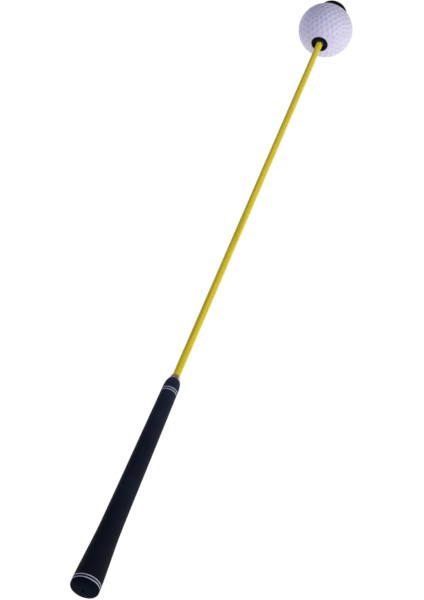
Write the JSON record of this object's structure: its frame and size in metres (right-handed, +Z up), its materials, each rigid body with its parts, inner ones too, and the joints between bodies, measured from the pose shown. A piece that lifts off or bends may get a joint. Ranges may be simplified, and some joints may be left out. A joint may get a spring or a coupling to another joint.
{
  "type": "swing trainer stick",
  "caption": "Golf swing trainer: tapered rubber grip on a steel tube, straight fibreglass rod, dimpled weighted ball that slides on the rod, cushioned end stop.",
  "frame": {"origin": "on the stick's axis at the middle of the two-handed hold, 100 mm from the butt end of the grip", "axes": "+Y along the stick's axis from the grip to the ball and the end stop, +Z up, +X to the right seen from the grip"},
  "size_m": [0.0714, 0.9784, 0.0714],
  "materials": {
    "grip_rubber": "matte, finely textured",
    "grip_cap_rubber": "matte, smooth",
    "grip_tape": "matte paper tape",
    "plated_steel": "zinc plated",
    "inner_plastic": "moulded",
    "ferrule_chrome": "polished",
    "rod_glassfibre": "satin, pultruded fibre under resin",
    "ball_plastic": "satin white, dimpled",
    "bush_gloss": "glossy black",
    "magnet_ferrite": "dull dark grey",
    "sleeve_aluminium": "turned",
    "guide_nylon": "natural nylon",
    "pad_rubber": "matte",
    "end_cap_gloss": "glossy black",
    "insert_brass": "turned"
  },
  "bodies": {
    "handle": {"grip": "grip_rubber", "grip_end_cap": "grip_cap_rubber", "grip_tape": "grip_tape", "handle_tube": "plated_steel", "tube_end_plug": "inner_plastic", "rear_rod_bush": "inner_plastic", "tip_ferrule": "ferrule_chrome", "rod": "rod_glassfibre", "bumper_pad": "pad_rubber", "end_cap": "end_cap_gloss", "rod_end_insert": "insert_brass", "end_washer": "plated_steel", "end_screw": "plated_steel"},
    "ball_guides": {"guide_bush_near": "guide_nylon", "guide_bush_far": "guide_nylon"},
    "ball": {"ball_shell_near": "ball_plastic", "ball_shell_far": "ball_plastic", "near_bush": "bush_gloss", "far_bush": "bush_gloss", "latch_magnet": "magnet_ferrite", "core_sleeve": "sleeve_aluminium", "ball_weight": "plated_steel"}
  },
  "joints": [
    {"name": "ball_slide", "type": "slide", "parent": "handle", "child": "ball_guides", "axis": [0, -1, 0], "range_m": [0, 0.626]},
    {"name": "ball_spin", "type": "hinge", "parent": "ball_guides", "child": "ball", "pos_m": [0, 0.833, 0], "axis": [0, 1, 0], "continuous": true}
  ]
}
